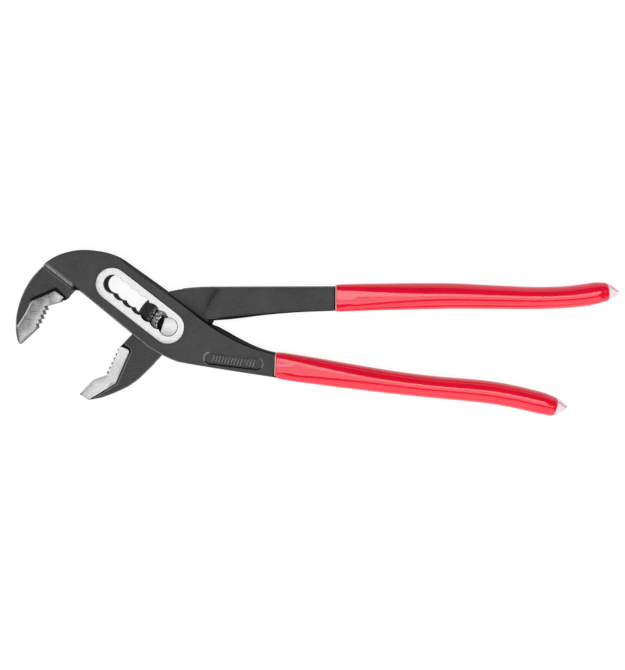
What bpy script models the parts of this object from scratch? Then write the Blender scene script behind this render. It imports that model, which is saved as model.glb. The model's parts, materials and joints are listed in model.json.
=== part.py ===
"""Tongue and groove pliers with a box joint, lying flat, in metres.

Two forged members cross at a slotted box. The outer member carries the upper jaw, the slotted box
and the lower handle. The inner member passes through a window in the box; it carries the lower jaw
and the upper handle. A pin with a D section on both ends rides in a chain of seven round holes.

Drawing coordinates are in millimetres, with the pin's axis at the origin and the mid plane of the
tool at z = 0. "Along" and "across" are measured in the slot's own direction.
"""

import math

import bmesh
import bpy
from mathutils import Vector

MM = 0.001

# Overall
PIN_X = -74.3            # the pin's place in the model, whose origin is the middle of the tool's box
PIN_Y = 3.35
BOX_HALF = 5.8           # half the thickness of the painted box
RING_HALF = 6.2          # half the thickness over the ground rings, the tool's thickest place
HANDLE_HALF = 4.8        # half the thickness of a bare handle
GAP = 0.3                # clearance between neighbouring pieces

# Slot
SLOT_ANGLE = math.radians(-37.9)
HOLE_COUNT = 7
HOLE_PITCH = 5.75
HOLE_RADIUS = 4.7
NECK_HALF = 3.85         # half the width where two holes meet
RING_RADIUS = 8.1        # the ground land around the slot

# Window in the box, and the tongue that passes through it
TONGUE_HALF = 2.4
WINDOW_HALF = TONGUE_HALF + GAP
TONGUE_RADIUS = 17.0
HEEL_RADIUS = 14.8
WINDOW_RADIUS = 22.7     # clears the opened handle in the first hole

# Jaws
JAW_HALF = TONGUE_HALF
PAD_HALF = 3.0           # half the thickness over the ground gripping faces
TOOTH_DEPTH = 0.7

# Pivot
PIN_RADIUS = 4.4
PIN_FLAT = 2.8           # from the axis to the flat
PIN_FLAT_ANGLE = math.radians(162.2)
PIN_DRUM_RADIUS = 5.5    # the round middle, too wide to leave through a hole
COLLAR_INNER = PIN_DRUM_RADIUS + GAP
COLLAR_OUTER = 9.4
BORE_RADIUS = COLLAR_OUTER + GAP

# Grips
CORE_HALF = 4.0          # half the thickness of the steel inside a grip
CORE_INSET = 1.7         # from a grip's side to the steel inside it
CORE_CORNER = 2.2

CIRCLE_STEPS = 40


def along(u, v):
    """A point u along the slot (down towards the handles) and v across it."""
    direction = Vector((math.cos(SLOT_ANGLE), math.sin(SLOT_ANGLE)))
    normal = Vector((-direction.y, direction.x))
    point = u * direction + v * normal
    return point.x, point.y


def arc(centre, radius, start, end, steps):
    """Points on an arc from start to end, in degrees."""
    turns = [math.radians(start + (end - start) * i / steps) for i in range(steps + 1)]
    return [(centre[0] + radius * math.cos(t), centre[1] + radius * math.sin(t)) for t in turns]


def curve(points, steps=4):
    """A smooth open curve through the given points or stations, any number of values each."""
    rows = [Vector(p) for p in points]
    rows = [2 * rows[0] - rows[1], *rows, 2 * rows[-1] - rows[-2]]
    out = []
    for before, start, end, after in zip(rows, rows[1:], rows[2:], rows[3:]):
        for i in range(steps):
            t = i / steps
            out.append(tuple(0.5 * (2 * start + (end - before) * t
                                    + (2 * before - 5 * start + 4 * end - after) * t ** 2
                                    + (3 * start - before - 3 * end + after) * t ** 3)))
    return [*out, tuple(rows[-2])]


def teeth(start, end, count):
    """A saw edge from start to end, whose roots lie to the left of the way from start to end."""
    a, b = Vector(start), Vector(end)
    step = (b - a) / count
    left = Vector((-step.y, step.x)).normalized() * TOOTH_DEPTH
    points = [tuple(a)]
    for i in range(count):
        points.append(tuple(a + step * (i + 0.5) + left))
        points.append(tuple(a + step * (i + 1)))
    return points


def new_object(name, bm):
    """An object from a bmesh drawn in millimetres."""
    bmesh.ops.scale(bm, vec=(MM, MM, MM), verts=bm.verts)
    bmesh.ops.recalc_face_normals(bm, faces=bm.faces)
    mesh = bpy.data.meshes.new(name)
    bm.to_mesh(mesh)
    bm.free()
    obj = bpy.data.objects.new(name, mesh)
    bpy.context.collection.objects.link(obj)
    return obj


def prism(name, outline, low, high):
    """An outline in the plane of the tool, extruded from z = low to z = high."""
    bm = bmesh.new()
    face = bm.faces.new([bm.verts.new((x, y, low)) for x, y in outline])
    grown = bmesh.ops.extrude_face_region(bm, geom=[face])
    top = [v for v in grown["geom"] if isinstance(v, bmesh.types.BMVert)]
    bmesh.ops.translate(bm, vec=(0, 0, high - low), verts=top)
    return new_object(name, bm)


def section(station, half, corner, inset):
    """A rounded section between a station's two edge points, as points in the tool's space."""
    left, right = Vector(station[0:2]), Vector(station[2:4])
    middle, reach = (left + right) / 2, (left - right) / 2
    width = reach.length - inset
    side = reach.normalized()
    corner = min(corner, 0.98 * width, 0.98 * half)
    points = []
    for quarter, (sx, sz) in enumerate([(1, 1), (-1, 1), (-1, -1), (1, -1)]):
        centre = (sx * (width - corner), sz * (half - corner))
        for y, z in arc(centre, corner, 90 * quarter, 90 * quarter + 90, 4):
            flat = middle + side * y
            points.append((flat.x, flat.y, z))
    return points


def loft(name, sections):
    """A closed skin over sections with the same number of points."""
    bm = bmesh.new()
    rings = [[bm.verts.new(p) for p in points] for points in sections]
    for one, other in zip(rings, rings[1:]):
        for i in range(len(one)):
            j = (i + 1) % len(one)
            bm.faces.new((one[i], one[j], other[j], other[i]))
    bm.faces.new(rings[0])
    bm.faces.new(rings[-1])
    return new_object(name, bm)


def combine(target, tool, operation):
    """Join, or cut away, a tool object with the EXACT solver, and remove the tool."""
    modifier = target.modifiers.new(operation.lower(), "BOOLEAN")
    modifier.operation = operation
    modifier.solver = "EXACT"
    modifier.object = tool
    bpy.context.view_layer.update()
    evaluated = target.evaluated_get(bpy.context.evaluated_depsgraph_get())
    mesh = bpy.data.meshes.new_from_object(evaluated)
    target.modifiers.clear()
    old, target.data = target.data, mesh
    mesh.name = target.name
    bpy.data.meshes.remove(old)
    bpy.data.objects.remove(tool)


def paint(obj, colour, roughness, metallic):
    """The piece's own material."""
    material = bpy.data.materials.new(obj.name)
    material.use_nodes = True
    shader = material.node_tree.nodes["Principled BSDF"]
    shader.inputs["Base Color"].default_value = (*colour, 1)
    shader.inputs["Roughness"].default_value = roughness
    shader.inputs["Metallic"].default_value = metallic
    obj.data.materials.clear()
    obj.data.materials.append(material)


def smooth(obj, degrees):
    """Smooth shading, kept sharp at real edges."""
    obj.data.shade_smooth()
    obj.data.set_sharp_from_angle(angle=math.radians(degrees))


# Outlines


def box_edge(u, side):
    """A point on the box's edge. The box widens slightly from the jaw towards the handles."""
    return along(u, 12.5 + 0.02 * (u + 14) if side > 0 else -13.2 - 0.025 * (u + 14))


def outer_outline():
    """The outer member from the tip of the upper jaw to the mouth of the lower grip."""
    jaw_back = curve([(-74.0, -8.6), (-75.3, -6.6), (-76.2, 1.4), (-75.0, 9.4), (-72.3, 17.2),
                      (-68.3, 23.9), (-62.7, 29.9), (-55.9, 34.6), (-48.8, 37.2), (-41.5, 38.0),
                      (-33.6, 36.9), (-25.9, 33.9), (-19.3, 29.5)])
    box_top = [box_edge(-14, 1), box_edge(9, 1)]
    handle_top = curve([(16.4, 4.0), (23.2, -0.8), (30.4, -5.0), (37.8, -8.6), (45.6, -11.5),
                        (53.3, -13.4)])
    handle_bottom = curve([(52.0, -25.1), (32.6, -21.9), (18.3, -19.5), (9.3, -18.0),
                           (4.8, -17.1), (1.0, -15.7), (-2.75, -13.95)])
    box_bottom = [box_edge(0, -1), box_edge(-46, -1)]
    jaw_root = [(-47.4, 18.2), (-49.8, 15.8), (-50.9, 14.3), (-52.5, 13.2)]
    jaw_face = [(-54.3, 13.0), (-60.0, 11.2), (-62.9, 9.6), (-68.2, -1.0)]
    outline = [*jaw_back, *box_top, *handle_top, *handle_bottom, *box_bottom, *jaw_root, *jaw_face]
    return outline


def upper_pad_outline():
    """The ground face of the upper jaw, with its teeth."""
    bite = teeth((-65.6, 0.3), (-61.5, 9.5), 4)
    return [(-65.9, -1.0), *bite, (-60.3, 10.6), (-54.6, 12.2), (-52.4, 14.4), (-56.9, 17.7), (-67.3, 13.2),
            (-76.1, -1.4), (-75.9, -3.8), (-75.0, -7.0), (-74.0, -8.6)]


def lower_pad_outline():
    """The ground face of the lower jaw, with its teeth."""
    bite = teeth((-24.9, -10.6), (-31.0, -23.7), 6)
    corner = arc((-21.4, -12.3), 1.9, 72, -24, 4)
    return [*reversed(bite), (-23.3, -9.4), *corner, (-26.7, -28.5), (-39.5, -36.2), (-43.9, -33.8),
            (-36.8, -26.1)]


def blade_outline():
    """The thin part of the inner member: lower jaw, neck and tongue."""
    left = arc((0, 0), TONGUE_RADIUS, 92, 186, 14)
    jaw_face = [(-18.6, -4.1), (-22.9, -9.3), (-23.3, -11.0), (-29.7, -24.4), (-36.3, -27.0)]
    tip = [(-42.9, -34.0), (-39.5, -36.3)]
    jaw_back = curve([(-34.1, -35.4), (-28.7, -33.4), (-21.5, -30.3), (-15.9, -26.7),
                      (-11.65, -22.6), (-8.4, -19.0), (-3.9, -14.3)])
    heel = arc((0, 0), HEEL_RADIUS, 262, 345, 12)
    return [*left, *jaw_face, *tip, *jaw_back, *heel, (21.0, 3.6), (36.0, 8.0), (36.0, 17.0),
            (24.0, 19.4), (10.6, 19.2), (8.2, 18.9)]


def upper_handle_outline():
    """The thick part of the inner member, from its shoulder to the mouth of the upper grip."""
    heel = arc((19.4, 5.6), 1.6, 145, 262, 6)
    bottom = curve([(22.2, 3.2), (32.4, 4.0), (48.6, 6.0), (64.7, 7.3), (82.2, 8.0)])
    return [(26.6, 19.7), *heel, *bottom, (82.2, 19.9)]


def window_outline():
    """The passage through the box, in the slot's own directions.

    Its left wall clears the tongue and the opened handle in the first hole, and its right wall
    clears the back of the lower jaw when the tool is opened in the last hole.
    """
    first_hole = -HOLE_PITCH * (HOLE_COUNT - 1)
    left = arc((first_hole, 0), WINDOW_RADIUS, 130, 180, 10)
    right = [(17.8, 22.0), (17.8, 0.8), (34.0, -6.5), (34.0, -22.0)]
    return [along(u, v) for u, v in [*left, (first_hole - 14.2, -13.4), (first_hole - 14.2, -22.0),
                                     *reversed(right)]]


def stadium_outline():
    """The ground land around the slot."""
    first_hole = -HOLE_PITCH * (HOLE_COUNT - 1)
    return [along(u, v) for u, v in [*arc((0, 0), RING_RADIUS, -90, 90, 20),
                                     *arc((first_hole, 0), RING_RADIUS, 90, 270, 20)]]


def slot_outline():
    """A chain of round holes, cut back a little where they meet."""
    half_step = math.degrees(math.asin(NECK_HALF / HOLE_RADIUS))
    centres = [-HOLE_PITCH * i for i in range(HOLE_COUNT)]
    upper, lower = [], []
    for i, u in enumerate(centres):
        start = 0 if i == 0 else half_step
        end = 180 if i == HOLE_COUNT - 1 else 180 - half_step
        side = arc((u, 0), HOLE_RADIUS, start, end, 6 if 0 < i < HOLE_COUNT - 1 else 12)
        upper += side
        lower += [(x, -y) for x, y in side]
    return [along(u, v) for u, v in [*upper, *reversed(lower[1:-1])]]


def panel_outline():
    """The sunk oval on the side of the lower handle."""
    tilt = math.radians(-7)
    middle, half_length, radius = Vector((32.3, -17.1)), 11.8, 3.1
    ends = [*arc((half_length, 0), radius, -90, 90, 8), *arc((-half_length, 0), radius, 90, 270, 8)]
    turned = [(x * math.cos(tilt) - y * math.sin(tilt), x * math.sin(tilt) + y * math.cos(tilt))
              for x, y in ends]
    return [(middle.x + x, middle.y + y) for x, y in turned]


# Stations of the two grips: one edge point, the opposite edge point, half thickness, corner radius

UPPER_GRIP = [
    (82.5, 20.9, 82.5, 7.4, 5.6, 4.2),
    (88.0, 21.2, 88.0, 7.4, 6.0, 4.8),
    (104.0, 21.5, 104.0, 7.9, 6.2, 5.2),
    (133.2, 21.7, 133.0, 8.6, 6.2, 5.4),
    (162.5, 20.6, 162.0, 8.6, 6.2, 5.2),
    (182.0, 19.8, 182.0, 8.5, 6.2, 5.0),
    (196.5, 20.1, 197.0, 9.1, 6.2, 5.0),
    (208.0, 21.4, 209.5, 10.5, 6.0, 5.0),
    (218.0, 22.1, 218.8, 12.8, 5.4, 4.4),
    (222.4, 20.4, 222.4, 15.0, 4.0, 2.6),
    (224.8, 18.2, 224.6, 17.2, 1.2, 0.4),
]

LOWER_GRIP = [
    (53.6, -12.8, 52.3, -25.4, 5.6, 4.2),
    (58.8, -13.2, 57.4, -26.8, 6.0, 4.8),
    (74.8, -15.9, 73.2, -29.1, 6.2, 5.2),
    (94.2, -19.3, 92.4, -31.6, 6.2, 5.4),
    (113.7, -22.5, 112.6, -34.0, 6.2, 5.4),
    (133.2, -24.9, 132.2, -36.0, 6.2, 5.2),
    (157.5, -27.0, 156.0, -38.3, 6.2, 5.0),
    (172.2, -29.4, 170.0, -40.5, 6.2, 5.0),
    (186.0, -33.0, 182.6, -43.3, 6.0, 5.0),
    (193.6, -35.6, 190.0, -44.7, 5.4, 4.4),
    (197.0, -37.5, 194.6, -43.6, 4.0, 2.6),
    (198.7, -39.4, 198.2, -40.4, 1.2, 0.4),
]


def grip_sections(stations):
    """The outside of a dipped grip."""
    return [section(s, min(s[4], RING_HALF), s[5], 0) for s in curve(stations, 3)]


def core_sections(stations, grow):
    """The steel inside a grip, or the room around it when grow is above 0. It ends before the tip."""
    return [section(s, min(CORE_HALF, s[4] - 1.5) + grow, CORE_CORNER + grow, CORE_INSET - grow)
            for s in curve(stations[:-2], 2)]


def extended(sections, before, after):
    """The sections with one more pushed out before the first, and one after the last."""
    def pushed(edge, inner, distance):
        way = sum(map(Vector, edge), Vector()) - sum(map(Vector, inner), Vector())
        way = Vector((way.x, way.y, 0)).normalized() * distance
        return [tuple(Vector(point) + way) for point in edge]
    return [pushed(sections[0], sections[1], before), *sections,
            pushed(sections[-1], sections[-2], after)]


# Pieces


def shoulder_cutter(side):
    """Takes the upper jaw down to its own thickness behind a sloping shoulder."""
    high = BOX_HALF + 0.4
    profile = [(-12.0, high), (-14.9, JAW_HALF), (-60.0, JAW_HALF), (-60.0, high)]
    ends = [[(*along(u, v), side * z) for v, z in profile] for u in (-100.0, -45.0)]
    return loft("shoulder_cutter", ends)


def taper_cutter(side):
    """Thins the lower handle from the box's thickness to the handle's."""
    profile = [(18.0, BOX_HALF), (56.0, HANDLE_HALF - 0.1), (56.0, 9.0), (18.0, 9.0)]
    ends = [[(x, y, side * z) for x, z in profile] for y in (-40.0, 15.0)]
    return loft("taper_cutter", ends)


def add_core(body, stations):
    """Roots the steel inside a grip in its forging."""
    combine(body, loft("core", extended(core_sections(stations, 0), 6.0, 0.5)), "UNION")


def make_outer_member():
    """Upper jaw, slotted box and lower handle, one forging."""
    body = prism("outer_member", outer_outline(), -BOX_HALF, BOX_HALF)
    for side in (-1, 1):
        combine(body, shoulder_cutter(side), "DIFFERENCE")
        combine(body, taper_cutter(side), "DIFFERENCE")
    add_core(body, LOWER_GRIP)
    combine(body, prism("pad", upper_pad_outline(), -PAD_HALF, PAD_HALF), "UNION")
    combine(body, prism("ring", stadium_outline(), -RING_HALF, RING_HALF), "UNION")
    combine(body, prism("slot", slot_outline(), -10, 10), "DIFFERENCE")
    combine(body, prism("window", window_outline(), -WINDOW_HALF, WINDOW_HALF), "DIFFERENCE")
    for side in (-1, 1):
        low, high = sorted((side * (HANDLE_HALF - 0.1), side * 9.0))
        combine(body, prism("panel", panel_outline(), low, high), "DIFFERENCE")
    paint(body, (0.055, 0.055, 0.06), 0.55, 0.3)
    return body


def make_inner_member():
    """Lower jaw, tongue and upper handle, one forging."""
    body = prism("inner_member", blade_outline(), -TONGUE_HALF, TONGUE_HALF)
    combine(body, prism("handle", upper_handle_outline(), -HANDLE_HALF, HANDLE_HALF), "UNION")
    add_core(body, UPPER_GRIP)
    combine(body, prism("pad", lower_pad_outline(), -PAD_HALF, PAD_HALF), "UNION")
    bore = arc((0, 0), BORE_RADIUS, 0, 360, CIRCLE_STEPS)[:-1]
    combine(body, prism("bore", bore, -10, 10), "DIFFERENCE")
    paint(body, (0.055, 0.055, 0.06), 0.55, 0.3)
    return body


def make_pivot_pin():
    """A round drum between the cheeks, and an end with a D section through each cheek."""
    reach = math.degrees(math.acos(PIN_FLAT / PIN_RADIUS))
    flat = math.degrees(PIN_FLAT_ANGLE)
    d_section = arc((0, 0), PIN_RADIUS, flat + reach, flat + 360 - reach, CIRCLE_STEPS)
    pin = prism("pivot_pin", d_section, -RING_HALF, RING_HALF)
    drum = arc((0, 0), PIN_DRUM_RADIUS, 0, 360, CIRCLE_STEPS)[:-1]
    combine(pin, prism("drum", drum, -TONGUE_HALF, TONGUE_HALF), "UNION")
    paint(pin, (0.62, 0.62, 0.62), 0.3, 1.0)
    smooth(pin, 30)
    return pin


def make_pivot_collar():
    """The ring around the pin's drum, flush with the tongue."""
    outside = arc((0, 0), COLLAR_OUTER, 0, 360, CIRCLE_STEPS)[:-1]
    inside = arc((0, 0), COLLAR_INNER, 0, 360, CIRCLE_STEPS)[:-1]
    collar = prism("pivot_collar", outside, -TONGUE_HALF, TONGUE_HALF)
    combine(collar, prism("hole", inside, -10, 10), "DIFFERENCE")
    paint(collar, (0.4, 0.4, 0.4), 0.6, 1.0)
    smooth(collar, 30)
    return collar


def make_grip(name, stations):
    """A dipped sleeve, closed at its tip and open at its mouth."""
    grip = loft(name, grip_sections(stations))
    room = extended(core_sections(stations, GAP), 4.0, 0.5 + GAP)
    combine(grip, loft("room", room), "DIFFERENCE")
    paint(grip, (0.62, 0.005, 0.02), 0.25, 0.0)
    smooth(grip, 50)
    return grip


def main():
    for obj in list(bpy.data.objects):
        bpy.data.objects.remove(obj)
    pin_axis = (PIN_X * MM, PIN_Y * MM, RING_HALF * MM)
    pivot = bpy.data.objects.new("jaw_pivot", None)
    bpy.context.collection.objects.link(pivot)
    pivot.location = pin_axis
    for piece in (make_inner_member(), make_pivot_pin(), make_pivot_collar(),
                  make_grip("upper_grip", UPPER_GRIP)):
        piece.parent = pivot
    for piece in (make_outer_member(), make_grip("lower_grip", LOWER_GRIP)):
        piece.location = pin_axis


main()
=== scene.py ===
"""Looks of the tongue and groove pliers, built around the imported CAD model.

Drawing coordinates are in millimetres with the pin's axis at the origin and the tool's mid plane at
z = 0, as in the CAD source. Each piece's object sits at the pin's axis.
"""

import json
import math

import bmesh
import bpy
import numpy as np
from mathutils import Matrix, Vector
from mathutils.geometry import delaunay_2d_cdt


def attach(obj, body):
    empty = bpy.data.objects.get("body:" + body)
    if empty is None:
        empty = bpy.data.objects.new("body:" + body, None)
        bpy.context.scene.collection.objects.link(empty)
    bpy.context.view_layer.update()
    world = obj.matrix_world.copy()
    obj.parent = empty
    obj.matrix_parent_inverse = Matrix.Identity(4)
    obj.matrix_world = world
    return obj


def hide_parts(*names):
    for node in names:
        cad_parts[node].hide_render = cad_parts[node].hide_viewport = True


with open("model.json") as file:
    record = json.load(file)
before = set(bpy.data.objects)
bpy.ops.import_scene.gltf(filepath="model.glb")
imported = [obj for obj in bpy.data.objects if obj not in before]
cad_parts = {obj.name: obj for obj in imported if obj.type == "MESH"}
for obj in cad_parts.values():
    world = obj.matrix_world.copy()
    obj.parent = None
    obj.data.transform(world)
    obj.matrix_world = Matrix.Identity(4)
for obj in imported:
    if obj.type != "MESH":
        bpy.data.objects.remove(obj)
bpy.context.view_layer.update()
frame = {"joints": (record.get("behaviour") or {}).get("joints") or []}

MM = 0.001
PIN = Vector(next(j["pos_m"] for j in frame["joints"] if j["name"] == "jaw_pivot"))

# Shapes shared with the CAD, in millimetres
BOX_HALF = 5.8
RING_HALF = 6.2
HANDLE_HALF = 4.8
JAW_HALF = 2.4
PAD_HALF = 3.0
TONGUE_HALF = 2.4
GAP = 0.3
SLOT_TURN = -37.9        # degrees
SLOT_ANGLE = math.radians(SLOT_TURN)
HOLE_COUNT = 7
HOLE_PITCH = 5.75
HOLE_RADIUS = 4.7
RING_RADIUS = 8.1
TONGUE_RADIUS = 17.0
HEEL_RADIUS = 14.8
WINDOW_RADIUS = 22.7
PIN_RADIUS = 4.6
PIN_FLAT = 2.8
PIN_FLAT_ANGLE = math.radians(162.2)
PIN_DRUM_RADIUS = 5.5
COLLAR_INNER = 5.8
COLLAR_OUTER = 9.4
BORE_RADIUS = 9.7

# Edges
FORGED = 0.85            # radius of a forged edge
CRISP = 0.14             # bevel of a ground or cut edge
EDGE_STEPS = 5


# Drawing


def along(u, v):
    """A point u along the slot (down towards the handles) and v across it."""
    c, s = math.cos(SLOT_ANGLE), math.sin(SLOT_ANGLE)
    return u * c - v * s, u * s + v * c


def places(points):
    """How far each point lies along the slot and across it."""
    c, s = math.cos(SLOT_ANGLE), math.sin(SLOT_ANGLE)
    return points[:, 0] * c + points[:, 1] * s, -points[:, 0] * s + points[:, 1] * c


def arc(centre, radius, start, end, steps):
    turns = np.radians(np.linspace(start, end, steps + 1))
    return [(centre[0] + radius * math.cos(t), centre[1] + radius * math.sin(t)) for t in turns]


def curve(points, steps=8):
    """A smooth open curve through points or stations of any length."""
    rows = [np.array(p, float) for p in points]
    rows = [2 * rows[0] - rows[1], *rows, 2 * rows[-1] - rows[-2]]
    out = []
    for p, a, b, n in zip(rows, rows[1:], rows[2:], rows[3:]):
        for i in range(steps):
            t = i / steps
            out.append(tuple(0.5 * (2 * a + (b - p) * t + (2 * p - 5 * a + 4 * b - n) * t ** 2
                                    + (3 * a - p - 3 * b + n) * t ** 3)))
    return [*out, tuple(rows[-2])]


def teeth(start, end, count, depth):
    """A saw edge whose roots lie to the left of the way from start to end."""
    a, b = np.array(start, float), np.array(end, float)
    step = (b - a) / count
    left = np.array([-step[1], step[0]]) / np.hypot(*step) * depth
    points = [tuple(a)]
    for i in range(count):
        points += [tuple(a + step * (i + 0.5) + left), tuple(a + step * (i + 1))]
    return points


def resample(points, radii, step):
    """A closed outline with no stretch longer than step, with its edge radii."""
    out, out_r = [], []
    points = np.array(points, float)
    for i in range(len(points)):
        j = (i + 1) % len(points)
        n = max(1, math.ceil(np.hypot(*(points[j] - points[i])) / step))
        for k in range(n):
            out.append(points[i] + (points[j] - points[i]) * k / n)
            out_r.append(radii[i] + (radii[j] - radii[i]) * k / n)
    return np.array(out), np.array(out_r)


def refine(points, step=0.8):
    return resample(points, [0] * len(points), step)[0]


def clockwise(points):
    x, y = np.array(points).T
    return np.sum(x * np.roll(y, -1) - y * np.roll(x, -1)) < 0


def outline_of(*stretches):
    """An outline, counter clockwise, from (points, edge radius) stretches."""
    points = [p for stretch, _ in stretches for p in stretch]
    radii = [radius for stretch, radius in stretches for _ in stretch]
    turn = -1 if clockwise(points) else 1
    return resample(points[::turn], radii[::turn], 0.9)


def nearest(points, line, closed=True):
    """Distance from each point to a polyline, the nearest segment and the place along it."""
    line = np.asarray(line, float)
    if closed:
        return nearest_segment(points, line, np.roll(line, -1, 0))
    return nearest_segment(points, line[:-1], line[1:])


def nearest_segment(points, a, b):
    points, ab = np.atleast_2d(points), b - a
    size = np.maximum((ab ** 2).sum(1), 1e-12)
    best, seg, place = [], [], []
    for chunk in np.array_split(points, max(1, len(points) // 2000)):
        ap = chunk[:, None, :] - a[None]
        t = np.clip((ap * ab).sum(2) / size, 0, 1)
        d = np.hypot(ap[..., 0] - t * ab[:, 0], ap[..., 1] - t * ab[:, 1])
        k = d.argmin(1)
        rows = np.arange(len(chunk))
        best.append(d[rows, k])
        seg.append(k)
        place.append(t[rows, k])
    return np.concatenate(best), np.concatenate(seg), np.concatenate(place)


def inside(points, poly):
    """Whether each point is inside a closed polygon."""
    x, y = np.atleast_2d(points).T[:, :, None]
    a, b = np.asarray(poly, float), np.roll(np.asarray(poly, float), -1, 0)
    crosses = (a[:, 1] > y) != (b[:, 1] > y)
    rise = np.where(np.abs(b[:, 1] - a[:, 1]) < 1e-12, 1e-12, b[:, 1] - a[:, 1])
    return (crosses & (x < a[:, 0] + (y - a[:, 1]) * (b[:, 0] - a[:, 0]) / rise)).sum(1) % 2 == 1


def depth(points, poly):
    """Distance inside a polygon; negative outside."""
    return nearest(points, poly)[0] * np.where(inside(points, poly), 1, -1)


def normals_of(poly):
    """Outward unit normals at the corners of a counter clockwise polygon."""
    ahead = np.roll(poly, -1, 0) - poly
    ahead /= np.maximum(np.hypot(*ahead.T), 1e-9)[:, None]
    mean = ahead + np.roll(ahead, 1, 0)
    mean /= np.maximum(np.hypot(*mean.T), 1e-9)[:, None]
    return np.stack([mean[:, 1], -mean[:, 0]], 1)


def ramp(x, xs, ys):
    return np.interp(x, xs, ys)


def ease(t):
    t = np.clip(t, 0, 1)
    return t * t * (3 - 2 * t)


# Meshes


class Drawing:
    """Points and edges that the top surface's triangles must follow."""

    def __init__(self):
        self.points, self.edges = [], []

    def line(self, points, closed=True, keep=None):
        points = np.asarray(points, float)
        keep = np.ones(len(points), bool) if keep is None else keep
        first = len(self.points)
        index = np.cumsum(keep) - 1 + first
        self.points += [tuple(p) for p, k in zip(points, keep) if k]
        for i in range(len(points) - (0 if closed else 1)):
            j = (i + 1) % len(points)
            if keep[i] and keep[j]:
                self.edges.append((int(index[i]), int(index[j])))

    def insets(self, poly, radii, shares):
        """Lines beside an outline at shares of its edge radius, inside it unless negative."""
        out = normals_of(poly)
        for share in shares:
            moved = poly - out * (radii * share)[:, None]
            self.line(moved, keep=(nearest(moved, poly)[0] > radii * abs(share) * 0.93)
                      & (inside(moved, poly) == (share > 0)))

    def fill(self, poly, spacing=2.2, clear=0.5):
        """Points on a grid inside an outline, clear of every line."""
        low, high = poly.min(0), poly.max(0)
        x, y = np.meshgrid(np.arange(low[0], high[0], spacing),
                           np.arange(low[1], high[1], spacing * 0.87))
        x[::2] += spacing / 2
        grid = np.column_stack([x.ravel(), y.ravel()])
        grid = grid[inside(grid, poly)]
        ends = np.array(self.points)[np.array(self.edges)]
        distance = nearest_segment(grid, ends[:, 0], ends[:, 1])[0]
        self.points += [tuple(p) for p in grid[distance > clear]]


def rounding(points, poly, radii):
    """How far a rounded edge drops below the flat, and how near the edge a point is (0 to 1)."""
    d, k, t = nearest(points, poly)
    r = radii[k] * (1 - t) + radii[(k + 1) % len(radii)] * t
    x = np.clip(1 - d / r, 0, 1)
    return r - r * np.sqrt(1 - x ** 2), x


EDGE_SHARES = [1 - math.cos(math.radians(90 * i / EDGE_STEPS)) for i in range(1, EDGE_STEPS + 1)]


def plate(name, drawing, poly, holes, height, top_kind, wall_rows, wall_kind):
    """A body symmetric about the mid plane, whose upper surface is a height over the drawing.

    height(points) gives (z, wear_light_and_tone): rubbed edges, painted light and the pads' tone.
    wall_rows(points, z) gives the walls' rows between the upper and lower edges as (z, outward)
    pairs.
    The kinds choose the faces' material indices.
    """
    result = delaunay_2d_cdt([Vector(p) for p in drawing.points], drawing.edges, [], 0, 1e-5)
    flat = np.array([tuple(v) for v in result[0]])
    tris = np.array([f for f in result[2] if len(f) == 3])
    centres = flat[tris].mean(1)
    keep = inside(centres, poly)
    for hole in holes:
        keep &= ~inside(centres, hole)
    tris = tris[keep]
    a, b, c = flat[tris[:, 0]], flat[tris[:, 1]], flat[tris[:, 2]]
    area = (b[:, 0] - a[:, 0]) * (c[:, 1] - a[:, 1]) - (b[:, 1] - a[:, 1]) * (c[:, 0] - a[:, 0])
    tris[area < 0] = tris[area < 0][:, ::-1]
    used = np.unique(tris)
    renumber = np.full(len(flat), -1)
    renumber[used] = np.arange(len(used))
    tris, flat = renumber[tris], flat[used]
    z, wear_light_and_tone = height(flat)

    count = len(flat)
    verts = [np.column_stack([flat, z]), np.column_stack([flat, -z])]
    wear_light_and_tone_rows = [wear_light_and_tone, wear_light_and_tone]
    faces = [list(t) for t in tris] + [[t[2] + count, t[1] + count, t[0] + count] for t in tris]
    centres = flat[tris].mean(1)
    kinds = list(top_kind(centres)) * 2

    sides = dict.fromkeys((t[i], t[(i + 1) % 3]) for t in tris for i in range(3))
    after = {i: j for i, j in sides if (j, i) not in sides}
    loops, left = [], set(after)
    while left:
        start = min(left)
        loop, i = [], start
        while i in left:
            left.discard(i)
            loop.append(i)
            i = after[i]
        loops.append(np.array(loop))
    total = 2 * count
    for loop in loops:
        p = flat[loop]
        out = normals_of(p)
        rows = [loop]
        for row_z, push in wall_rows(p, z[loop]):
            verts.append(np.column_stack([p + out * push[:, None], row_z]))
            wear_light_and_tone_rows.append(np.zeros(len(loop)))
            rows.append(np.arange(len(loop)) + total)
            total += len(loop)
        rows.append(loop + count)
        kind = wall_kind((p + np.roll(p, -1, 0)) / 2)
        for upper, lower in zip(rows, rows[1:]):
            for i in range(len(loop)):
                j = (i + 1) % len(loop)
                faces.append([upper[j], upper[i], lower[i], lower[j]])
                kinds.append(kind[i])
    return mesh_object(name, np.concatenate(verts), faces, kinds, np.concatenate(wear_light_and_tone_rows))


def mesh_object(name, verts, faces, kinds=None, wear_light_and_tone=None):
    """An object at the pin's axis from points in millimetres."""
    mesh = bpy.data.meshes.new(name)
    mesh.from_pydata([tuple(float(x) * MM for x in v) for v in verts], [],
                     [[int(i) for i in f] for f in faces])
    if kinds is not None:
        mesh.polygons.foreach_set("material_index", [int(k) for k in kinds])
    if wear_light_and_tone is not None:
        layer = mesh.attributes.new("wear_light_and_tone", "FLOAT", "POINT")
        layer.data.foreach_set("value", np.asarray(wear_light_and_tone, np.float32))
    bm = bmesh.new()
    bm.from_mesh(mesh)
    bmesh.ops.remove_doubles(bm, verts=bm.verts, dist=1e-7)
    bmesh.ops.recalc_face_normals(bm, faces=bm.faces)
    bm.to_mesh(mesh)
    bm.free()
    obj = bpy.data.objects.new(name, mesh)
    bpy.context.scene.collection.objects.link(obj)
    obj.location = PIN
    return obj


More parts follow.
